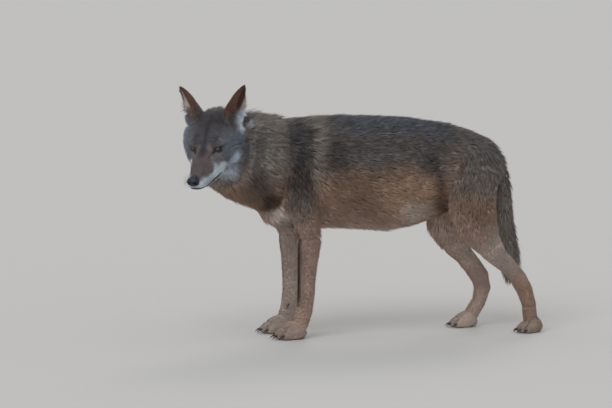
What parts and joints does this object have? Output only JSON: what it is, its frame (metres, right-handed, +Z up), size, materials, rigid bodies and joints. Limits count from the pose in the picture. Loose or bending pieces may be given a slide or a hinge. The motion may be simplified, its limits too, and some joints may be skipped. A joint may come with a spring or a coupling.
{
  "type": "standing timber wolf, a life-size still model",
  "caption": "Life-size still model of a timber wolf in winter coat, standing on four feet with its head turned to its left and its tail hanging.",
  "frame": {"origin": "on the floor, under the middle of the box round the whole wolf", "axes": "+Z up; the wolf faces -X, its left side faces -Y; the body lies along X"},
  "size_m": [1.3216, 0.4996, 0.9029],
  "materials": {
    "coat_back": "dense guard hair, dark grey-brown with black tips",
    "coat_head": "short grey fur, darker along the forehead",
    "coat_legs": "short tawny fur",
    "coat_muzzle": "very short fur, reddish grey above, white on the lips",
    "nose": "moist pebbled black skin",
    "eye": "glossy, amber iris with a round black pupil",
    "claw": "smooth dark horn"
  },
  "bodies": {
    "root": {"claw_fore_left_1": "claw", "claw_fore_left_2": "claw", "claw_fore_left_3": "claw", "claw_fore_left_4": "claw", "claw_fore_right_1": "claw", "claw_fore_right_2": "claw", "claw_fore_right_3": "claw", "claw_fore_right_4": "claw", "claw_hind_left_1": "claw", "claw_hind_left_2": "claw", "claw_hind_left_3": "claw", "claw_hind_left_4": "claw", "claw_hind_right_1": "claw", "claw_hind_right_2": "claw", "claw_hind_right_3": "claw", "claw_hind_right_4": "claw", "dewclaw_left": "claw", "dewclaw_right": "claw", "ear_left": "coat_head", "ear_right": "coat_head", "eye_left": "eye", "eye_right": "eye", "foreleg_left": "coat_legs", "foreleg_right": "coat_legs", "forepaw_left": "coat_legs", "forepaw_right": "coat_legs", "head": "coat_head", "hindleg_left": "coat_legs", "hindleg_right": "coat_legs", "hindpaw_left": "coat_legs", "hindpaw_right": "coat_legs", "jaw": "coat_muzzle", "muzzle": "coat_muzzle", "neck": "coat_back", "nose": "nose", "tail": "coat_back", "trunk": "coat_back"}
  },
  "joints": []
}
